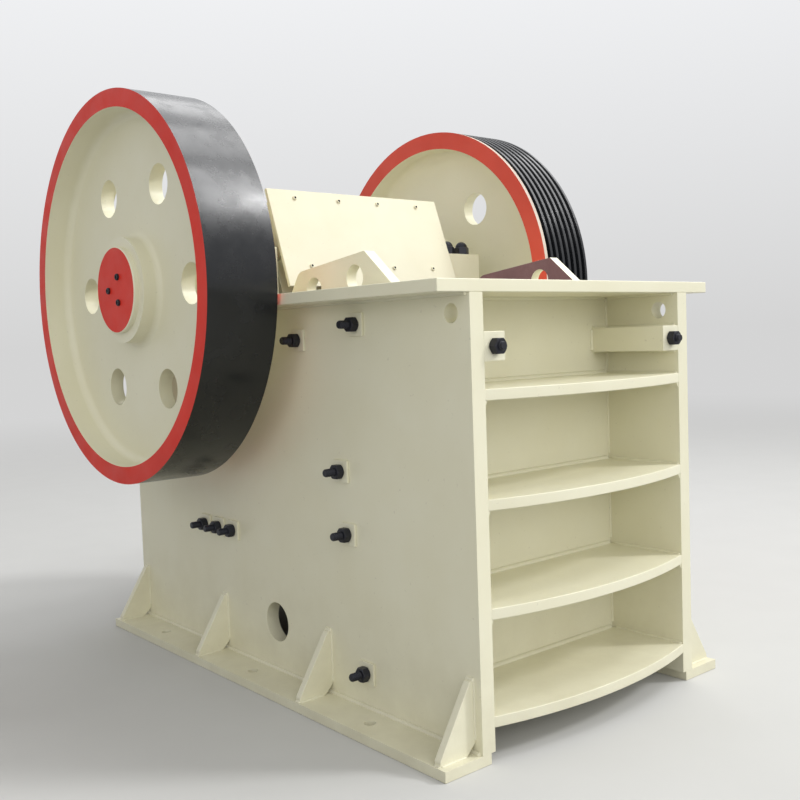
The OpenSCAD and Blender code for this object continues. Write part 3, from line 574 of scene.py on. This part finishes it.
# Bolts: chamfered hexagon nuts, studs with thread, square washer plates.
# Shares of a nut's width across flats and of its height, and of a stud's radius.
NUT_FACE = 0.475
NUT_CHAMFER = 0.16
THREAD_START = 0.98
THREAD_ROOT = 0.90
STUD_TIP = 0.80


def hex_nut(across, height):
    corner = across / 2 / math.cos(math.radians(30))
    deselect()
    bpy.ops.mesh.primitive_cylinder_add(vertices=6, radius=corner, depth=height,
                                        location=(0, 0, height / 2))
    piece = bpy.context.object
    bpy.ops.object.transform_apply(location=True, rotation=True, scale=True)
    barrel = turned([(across * NUT_FACE, -0.0001), (corner * 1.01, height * NUT_CHAMFER),
                     (corner * 1.01, height * (1 - NUT_CHAMFER)),
                     (across * NUT_FACE, height + 0.0001)], 48)
    modify(piece, "BOOLEAN", operation="INTERSECT", object=barrel, solver="EXACT")
    bpy.data.objects.remove(barrel)
    round_edges(piece, across * 0.012, 1, 40)
    return piece


def threaded_end(radius, start, length, pitch=0.004):
    """Stud end with thread ridges and a chamfered tip."""
    rings = [(radius * THREAD_START, start)]
    count = max(2, int(length / pitch) - 1)
    for k in range(count):
        level = start + k * pitch
        rings += [(radius * THREAD_ROOT, level + pitch * 0.25), (radius, level + pitch * 0.75)]
    tip = start + length
    rings += [(radius * THREAD_ROOT, start + count * pitch + 0.0005),
              (radius * THREAD_ROOT, tip - 0.002), (radius * STUD_TIP, tip)]
    return turned(rings, 32)


def washer_plate(size, thick):
    deselect()
    bpy.ops.mesh.primitive_cube_add(size=1, location=(0, 0, thick / 2))
    piece = bpy.context.object
    piece.scale = (size, size, thick)
    bpy.ops.object.transform_apply(location=True, rotation=True, scale=True)
    round_edges(piece, SMALL_EDGE)
    return piece


# Bolts of the side walls, as (distance from the front, height)
LINER_BOLTS = ((0.560, 1.385), (0.915, 1.337), (0.675, 0.868), (0.645, 0.645), (0.565, 0.162))
GUIDE_BOLT_PITCH = 0.115
GUIDE_BOLTS = tuple((1.450 + k * GUIDE_BOLT_PITCH, 0.557) for k in range(3))
BOLT_PLACES = LINER_BOLTS + GUIDE_BOLTS

for word, side in SIDES:
    places = [along_x(side, WALL_OUT, from_front(y), z) for y, z in BOLT_PLACES]
    plates = copied(washer_plate(WASHER, WASHER_T), places)
    finish_piece(plates, "bolt_plates_" + word, "frame", "cream_paint", finish=CREAM)
    bolt = join([stand(hex_nut(NUT_AF, NUT_H), Matrix.Translation((0, 0, WASHER_T))),
                 threaded_end(STUD_R, WASHER_T + STUD_START, NUT_H + STUD_TAIL - STUD_START)])
    finish_piece(copied(bolt, places), "wall_bolts_" + word, "frame", "black_bolts",
                 "liner_bolts_" + word, finish=BOLT)

BAR_LOW, BAR_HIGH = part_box("spacer_bars")
BAR_X = BAR_HIGH.x - 0.046
BAR_Z = (BAR_LOW.z + BAR_HIGH.z) / 2
bar_bolt = join([hex_nut(NUT_AF, NUT_H),
                 threaded_end(STUD_R, STUD_START, BAR_STUD_OUT - STUD_START)])
forwards = Matrix.Rotation(math.pi / 2, 4, "X") @ Matrix.Rotation(math.radians(30), 4, "Z")
places = [Matrix.Translation((side * BAR_X, FRONT, BAR_Z)) @ forwards for word, side in SIDES]
finish_piece(copied(bar_bolt, places), "spacer_bar_bolts", "frame", "black_bolts",
             "spacer_bar_studs", finish=BOLT)

# Domed cap nuts of the bearing caps
CAP_NUT_AF = 0.062
CAP_NUT_H = 0.036
DOME_R = 0.028
for word, side in SIDES:
    dome = turned([(DOME_R + 0.0005, 0.030)] + arc((0, 0.034), DOME_R, 0, 84, 10), 32)
    smooth(dome)
    stud = join([hex_nut(CAP_NUT_AF, CAP_NUT_H), dome])
    places = [Matrix.Translation((side * WALL_OUT + k * CAP_STUD_X, SHAFT_Y + j * CAP_STUD_Y,
                                  CAP_TOP))
              for k in (-1, 1) for j in (-1, 1)]
    finish_piece(copied(stud, places), "cap_bolts_" + word, "frame", "black_bolts",
                 "bearing_studs_" + word, finish=BOLT)

# Hub caps, each held by three screws
CAP_EDGE = 0.004
CAP_SCREWS = 3
CAP_SCREW_OUT = 0.058
for word, side in SIDES:
    level = HUB_LEN
    disc = turned([(0.020, level), (CAP_R, level), (CAP_R, level + CAP_T - CAP_EDGE),
                   (CAP_R - CAP_EDGE, level + CAP_T), (0.020, level + CAP_T)], 96)
    smooth(disc)
    disc.data.materials.append(RED)
    disc.data.materials.append(CREAM)
    for face in disc.data.polygons:
        face.material_index = 0 if face.center.z > level + CAP_T - 0.001 else 1
    stand(disc, along_x(side, WHEEL_X, SHAFT_Y, SHAFT_Z))
    finish_piece(disc, "hub_cap_disc_" + word, "rotor", "orange_red_paint", "hub_cap_" + word)
    head = turned([(0.004, 0), (0.013, 0), (0.013, 0.008), (0.011, 0.010), (0.007, 0.010),
                   (0.006, 0.004), (0.002, 0.004)], 24)
    places = []
    for k in range(CAP_SCREWS):
        angle = math.pi / 2 + math.tau * k / CAP_SCREWS
        spot = (CAP_SCREW_OUT * math.cos(angle), CAP_SCREW_OUT * math.sin(angle),
                level + CAP_T - 0.001)
        places.append(along_x(side, WHEEL_X, SHAFT_Y, SHAFT_Z) @ Matrix.Translation(spot))
    smooth(head)
    finish_piece(copied(head, places), "hub_cap_bolts_" + word, "rotor", "black_bolts", finish=BOLT)

# Screws of the guard plate: cream heads, with the dark bolt finish in the socket as painted shade in
# the recess
GUARD_FACE = -0.443
GUARD_SCREW_X = (-0.327, -0.105, 0.105, 0.327)
GUARD_SCREW_UP = (0.219, -0.083)
SOCKET_R = 0.0050
GUARD_LEAN = math.radians(20)
GUARD_SLOPE = (Matrix.Translation((0, SHAFT_Y, SHAFT_Z))
               @ Matrix.Rotation(-GUARD_LEAN, 4, "X"))
screw = turned([(0.003, -0.002), (0.009, -0.002), (0.009, 0.005), (0.0075, 0.007),
                (SOCKET_R, 0.007), (0.0045, 0.002), (0.002, 0.002)], 24)
smooth(screw)
screw.data.materials.append(SATIN)
screw.data.materials.append(BOLT)
# The socket gets the dark finish: painted shade in the recess.
for face in screw.data.polygons:
    face.material_index = 1 if math.hypot(face.center.x, face.center.y) < SOCKET_R else 0
places = [GUARD_SLOPE @ Matrix.Translation((x, GUARD_FACE, up))
          @ Matrix.Rotation(math.pi / 2, 4, "X")
          for x in GUARD_SCREW_X for up in GUARD_SCREW_UP]
finish_piece(copied(screw, places), "guard_plate_screws", "jaw", "cream_paint")

# Bearing covers on both faces of each housing, the outer ones with a ring of bolts
OUTER_COVER = (0.262, 0.020)
INNER_COVER = (0.240, 0.010)
COVER_BOLTS = 8
for word, side in SIDES:
    covers = []
    for face_x, outwards, (reach, thick) in ((HOUSING_OUT, side, OUTER_COVER),
                                             (HOUSING_IN, -side, INNER_COVER)):
        at = Matrix.Translation((side * face_x, SHAFT_Y, SHAFT_Z)) @ Matrix.Rotation(
            outwards * math.pi / 2, 4, "Y")
        ring = turned([(COVER_BORE, -0.002), (reach, -0.002), (reach, thick - 0.003),
                       (reach - 0.003, thick), (0.165, thick), (0.160, thick - 0.004),
                       (COVER_BORE, thick - 0.004)], 96, hollow=True)
        smooth(ring)
        covers.append(stand(ring, at))
        if face_x == HOUSING_OUT:
            head = stand(hex_nut(0.024, 0.012), Matrix.Translation((0, 0, thick)))
            spots = [at @ Matrix.Rotation(math.tau * (k + 0.5) / COVER_BOLTS, 4, "Z")
                     @ Matrix.Translation((reach - 0.026, 0, 0)) for k in range(COVER_BOLTS)]
            finish_piece(copied(head, spots), "bearing_cover_bolts_" + word, "frame", "black_bolts",
                         finish=BOLT)
    finish_piece(join(covers), "bearing_covers_" + word, "frame", "cream_paint", finish=CREAM)

# Rippled weld beads along the joints of the frame. A bead's size is its radius.
RIPPLE = 0.007
RIPPLE_NECK = 0.90
RIB_SEAM = 0.013
WALL_SEAM = 0.010
SIDE_SEAM = 0.007
CORNER_SEAM = 0.006
FINE_SEAM = 0.0055
LONG_SEAM = 0.011
ABOVE_PLATE = 0.018
UNDER_PLATE = 0.004
deselect()
bpy.ops.mesh.primitive_circle_add(vertices=8, radius=RIPPLE_NECK)
ripple = bpy.context.object
edit(ripple, "EDGE")
for share in (1 / RIPPLE_NECK, RIPPLE_NECK):
    bpy.ops.mesh.extrude_region_move(TRANSFORM_OT_translate={"value": (0, 0, RIPPLE / 2)})
    bpy.ops.transform.resize(value=(share, share, 1), center_override=(0, 0, 0))
leave_edit()


def bead(start, end, size):
    """One bead from start to end, given in x, y from the front and z."""
    start, end = (Vector((x, from_front(y), z)) for x, y, z in (start, end))
    run = end - start
    count = max(2, round(run.length / RIPPLE))
    piece = twin_of("bead", ripple.data)
    modify(piece, "ARRAY", count=count, use_relative_offset=False, use_constant_offset=True,
           constant_offset_displace=(0, 0, RIPPLE), use_merge_vertices=True, merge_threshold=0.0005)
    edit(piece, "EDGE")
    bpy.ops.mesh.select_all(action="DESELECT")
    bpy.ops.mesh.select_non_manifold()
    bpy.ops.transform.resize(value=(0.5, 0.5, 1), center_override=(0, 0, 0))
    bpy.ops.mesh.fill_holes(sides=0)
    leave_edit()
    piece.data.transform(
        Matrix.Translation(start) @ run.to_track_quat("Z", "Y").to_matrix().to_4x4()
        @ Matrix.Diagonal((size, size, run.length / (count * RIPPLE), 1)))
    return piece


def weld(name, beads):
    piece = join([bead(*one) for one in beads])
    outward(piece)
    smooth(piece, 60)
    finish_piece(piece, name, "frame", "cream_paint", finish=CREAM)


def bay_welds(ribs, wall_y, edge_y, clip):
    """Welds of the ribs on the front or rear wall, and of the wall between them."""
    inwards = 1 if edge_y < wall_y else -1
    near, far = wall_y - inwards * clip, edge_y + inwards * 0.006
    across = WALL_IN - max(clip, 0.010)
    beads = []
    for low in ribs:
        levels = [low + RIB_T] if low == min(ribs) else [low, low + RIB_T]
        if low == max(ribs) and inwards < 0:
            levels = [low]
        for z in levels:
            beads.append(((-across, wall_y, z), (across, wall_y, z), RIB_SEAM))
            for side in (-1, 1):
                beads.append(((side * WALL_IN, near, z), (side * WALL_IN, far, z), SIDE_SEAM))
    steps = sorted(ribs)
    for low, high in zip(steps, steps[1:]):
        for side in (-1, 1):
            beads.append(((side * WALL_IN, wall_y, low + RIB_T + ABOVE_PLATE),
                          (side * WALL_IN, wall_y, high - UNDER_PLATE), CORNER_SEAM))
    return beads


RIB_CLIP = 0.016
BAR_LEVELS = (1.253, 1.345)
BAR_IN = 0.412
BAR_SEAM = 0.009
top_rib = max(FRONT_RIBS) + RIB_T
front_beads = bay_welds(FRONT_RIBS, FRONT_FACE, 0.0, RIB_CLIP)
FLANGE_SEAM_X = 0.490
front_beads.append(((-FLANGE_SEAM_X, FRONT_FACE, FLANGE_LOW), (FLANGE_SEAM_X, FRONT_FACE, FLANGE_LOW),
                    LONG_SEAM))
for side in (-1, 1):
    inner, outer = side * WALL_IN, side * WALL_OUT
    front_beads += [
        ((inner, FRONT_FACE, top_rib + ABOVE_PLATE), (inner, FRONT_FACE, FLANGE_LOW - UNDER_PLATE),
         CORNER_SEAM),
        ((inner, 0.020, FLANGE_LOW), (inner, FRONT_FACE - 0.010, FLANGE_LOW), WALL_SEAM),
        ((outer, 0.012, FLANGE_LOW), (outer, FLANGE_REAR, FLANGE_LOW), WALL_SEAM),
    ]
    for z in BAR_LEVELS:
        front_beads += [
            ((side * (BAR_IN + 0.004), FRONT_FACE, z), (side * 0.500, FRONT_FACE, z), BAR_SEAM),
            ((inner, 0.012, z), (inner, FRONT_FACE - 0.012, z), 0.008),
        ]
    front_beads.append(((side * BAR_IN, FRONT_FACE, BAR_LEVELS[0] + 0.004),
                        (side * BAR_IN, FRONT_FACE, BAR_LEVELS[1] - 0.004), BAR_SEAM))
    for low in FRONT_RIBS:
        front_beads.append(((inner, 0.0035, low + 0.002), (inner, 0.0035, low + RIB_T - 0.002),
                            0.0045))
weld("front_welds", front_beads)

# Small chamfered corner pieces under the ribs' ends
corners = []
for low in FRONT_RIBS[:-1]:
    for side in (-1, 1):
        deselect()
        bpy.ops.mesh.primitive_cylinder_add(vertices=4, radius=1, depth=0.040)
        corners.append(stand(bpy.context.object,
                             Matrix.Translation((side * WALL_IN, from_front(0.022), low))
                             @ Matrix.Diagonal((0.012, 1, 0.020, 1))
                             @ Matrix.Rotation(math.pi / 2, 4, "X")))
corner_pieces = join(corners)
round_edges(corner_pieces, SMALL_EDGE)
finish_piece(corner_pieces, "rib_corner_pieces", "frame", "cream_paint", finish=CREAM)
weld("rear_welds", bay_welds(REAR_RIBS, REAR_FACE, FRAME_LEN - 0.020, 0.0))

# Welds of the base flanges and gussets, and of the bearing seats on the side walls
SEAT_LOW = 1.410
SEAT_SEAMS = ((1.194, 1.330), (1.850, 1.986))
for word, side in SIDES:
    outer = side * WALL_OUT
    beads = [((outer, 0.010, BASE_T), (outer, FRAME_LEN - 0.010, BASE_T), LONG_SEAM)]
    for start in GUSSETS:
        end = start + GUSSET_T
        top, toe = BASE_T + GUSSET_TOP, side * (GUSSET_OUT + 0.004)
        for y in (start, end):
            beads += [
                ((outer, y, BASE_T + GUSSET_NOTCH + 0.002), (outer, y, top - 0.002), FINE_SEAM),
                ((side * (WALL_OUT + GUSSET_NOTCH), y, BASE_T), (side * GUSSET_OUT, y, BASE_T),
                 FINE_SEAM),
            ]
        beads.append(((outer, start - 0.004, top), (outer, end + 0.004, top), WALL_SEAM))
        beads.append(((toe, start, BASE_T), (toe, end, BASE_T), CORNER_SEAM))
    for start, end in SEAT_SEAMS:
        beads.append(((outer, start, SEAT_LOW), (outer, end, SEAT_LOW), WALL_SEAM))
    weld("base_welds_" + word, beads)
bpy.data.objects.remove(ripple)

# Tension spring
SPRING_LOW, SPRING_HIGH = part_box("tension_spring")
SPRING_R = (SPRING_HIGH.x - SPRING_LOW.x) / 2
SPRING_Z = (SPRING_LOW.z + SPRING_HIGH.z) / 2
WIRE_R = 0.009
TURNS = 8
deselect()
bpy.ops.mesh.primitive_circle_add(vertices=12, radius=WIRE_R, location=(SPRING_R - WIRE_R, 0, 0),
                                  rotation=(math.pi / 2, 0, 0))
spring = bpy.context.object
bpy.ops.object.transform_apply(location=True, rotation=True, scale=True)
modify(spring, "SCREW", axis="Z", angle=math.tau * TURNS, steps=32 * TURNS,
       render_steps=32 * TURNS, screw_offset=SPRING_HIGH.y - SPRING_LOW.y - 2 * WIRE_R,
       use_smooth_shade=True)
edit(spring)
bpy.ops.mesh.select_all(action="DESELECT")
bpy.ops.mesh.select_non_manifold()
bpy.ops.mesh.fill_holes(sides=0)
leave_edit()
outward(spring)
stand(spring, Matrix.Translation((0, SPRING_LOW.y + WIRE_R, SPRING_Z))
      @ Matrix.Rotation(-math.pi / 2, 4, "X"))
finish_piece(spring, "tension_spring_coil", "frame", "black_bolts", "tension_spring", finish=BOLT)
rounded("tension_nuts", "frame", "black_bolts", BOLT, SMALL_EDGE)
for word, side in SIDES:
    rounded("main_bearing_" + word, "frame", "machined_steel", STEEL, PLATE_EDGE)


# Floor, light and camera

def background_rays(tree):
    """1 for rays that show the background: seen, mirrored or through glass."""
    rays = tree.nodes.new("ShaderNodeLightPath")
    total = rays.outputs["Is Camera Ray"]
    for name in ("Is Glossy Ray", "Is Transmission Ray"):
        adder = tree.nodes.new("ShaderNodeMath")
        adder.operation = "MAXIMUM"
        tree.links.new(total, adder.inputs[0])
        tree.links.new(rays.outputs[name], adder.inputs[1])
        total = adder.outputs[0]
    return total


# The floor is lit near the machine and fades into the backdrop's colour farther off
HORIZON = (0.66, 0.66, 0.66)
FADE = (3.0, 17.0)
deselect()
bpy.ops.mesh.primitive_plane_add(size=120, location=(0, 0, -0.001))
floor = bpy.context.object
floor.name = "floor"
ground, tree, shader, where = new_finish("pale_floor")
shader.inputs["Roughness"].default_value = 0.8
shader.inputs["Specular IOR Level"].default_value = 0.0
distance = tree.nodes.new("ShaderNodeVectorMath")
distance.operation = "LENGTH"
tree.links.new(where, distance.inputs[0])
near = mix(tree, noise(tree, where, 3, 4), (0.64, 0.64, 0.63), (0.61, 0.61, 0.60))
seen = background_rays(tree)
far_off = spread(tree, distance.outputs["Value"], *FADE, 0, 1)
far_off.node.interpolation_type = "SMOOTHSTEP"
lit = mix(tree, seen, (0.42, 0.42, 0.41), near)
tree.links.new(mix(tree, far_off, lit, (0, 0, 0)), shader.inputs["Base Color"])
tree.links.new(mix(tree, seen, (0.40, 0.40, 0.40), HORIZON), shader.inputs["Emission Color"])
tree.links.new(far_off, shader.inputs["Emission Strength"])
floor.data.materials.append(ground)

world = bpy.data.worlds.new("pale_surroundings")
bpy.context.scene.world = world
world.use_nodes = True
sky = world.node_tree
facing = sky.nodes.new("ShaderNodeSeparateXYZ")
sky.links.new(sky.nodes.new("ShaderNodeTexCoord").outputs["Generated"], facing.inputs[0])
upwards = spread(sky, facing.outputs["Z"], 0.0, 0.40, 0, 1)
backdrop = mix(sky, upwards, HORIZON, (0.92, 0.93, 0.95))
frontwards = spread(sky, facing.outputs["Y"], 0.0, -1.0, 0, 1)
light = mix(sky, frontwards, (0.43, 0.43, 0.425), (1.05, 1.05, 1.04))
sky.links.new(mix(sky, background_rays(sky), light, backdrop),
              sky.nodes["Background"].inputs["Color"])
sky.nodes["Background"].inputs["Strength"].default_value = 1.0


def haze_sun(strength, from_where, across):
    """A hazy sun: parallel light from one direction, with soft shadow edges."""
    deselect()
    bpy.ops.object.light_add(type="SUN", location=Vector(from_where) * 12)
    made = bpy.context.object
    made.rotation_euler = Vector(from_where).to_track_quat("Z", "Y").to_euler()
    made.data.energy = strength
    made.data.angle = math.radians(across)


def softbox(energy, at, towards, wide, high):
    deselect()
    bpy.ops.object.light_add(type="AREA", location=at)
    made = bpy.context.object
    made.rotation_euler = (Vector(towards) - Vector(at)).to_track_quat("-Z", "Y").to_euler()
    made.data.shape = "RECTANGLE"
    made.data.energy = energy
    made.data.size = wide
    made.data.size_y = high


MIDDLE = (0, 0, 1.0)
haze_sun(1.1, (0.604, -0.507, 0.616), 9)
softbox(145, (3.3, -3.6, 8.0), MIDDLE, 1.8, 2.6)
softbox(125, (3.0, -0.1, 9.1), MIDDLE, 3.6, 2.4)
softbox(60, (3.0, 3.9, 7.9), MIDDLE, 2.8, 2.6)
softbox(90, (7.0, -0.1, 7.2), MIDDLE, 6.0, 2.2)
softbox(75, (-1.4, -6.8, 3.2), (0, FRONT, 1.0), 5.0, 2.6)
softbox(55, (-7.5, -2.0, 3.4), MIDDLE, 5.0, 3.0)

camera = bpy.data.objects.new("camera", bpy.data.cameras.new("camera"))
bpy.context.scene.collection.objects.link(camera)
CAMERA_AT = (-2.6255, FRONT - 2.1353, 1.3361)
CAMERA_TURN = math.radians(39.8369)
CAMERA_TILT = math.radians(-3.6527)
CAMERA_ROLL = math.radians(-1.9775)
SENSOR_W = 36
FOCAL_LENGTH = 44.305
camera.matrix_world = (Matrix.Translation(CAMERA_AT) @ Matrix.Rotation(-CAMERA_TURN, 4, "Z")
                       @ Matrix.Rotation(math.pi / 2 + CAMERA_TILT, 4, "X")
                       @ Matrix.Rotation(CAMERA_ROLL, 4, "Z"))
camera.data.sensor_width = SENSOR_W
camera.data.lens = FOCAL_LENGTH
bpy.context.scene.camera = camera
bpy.context.scene.view_settings.view_transform = "Standard"
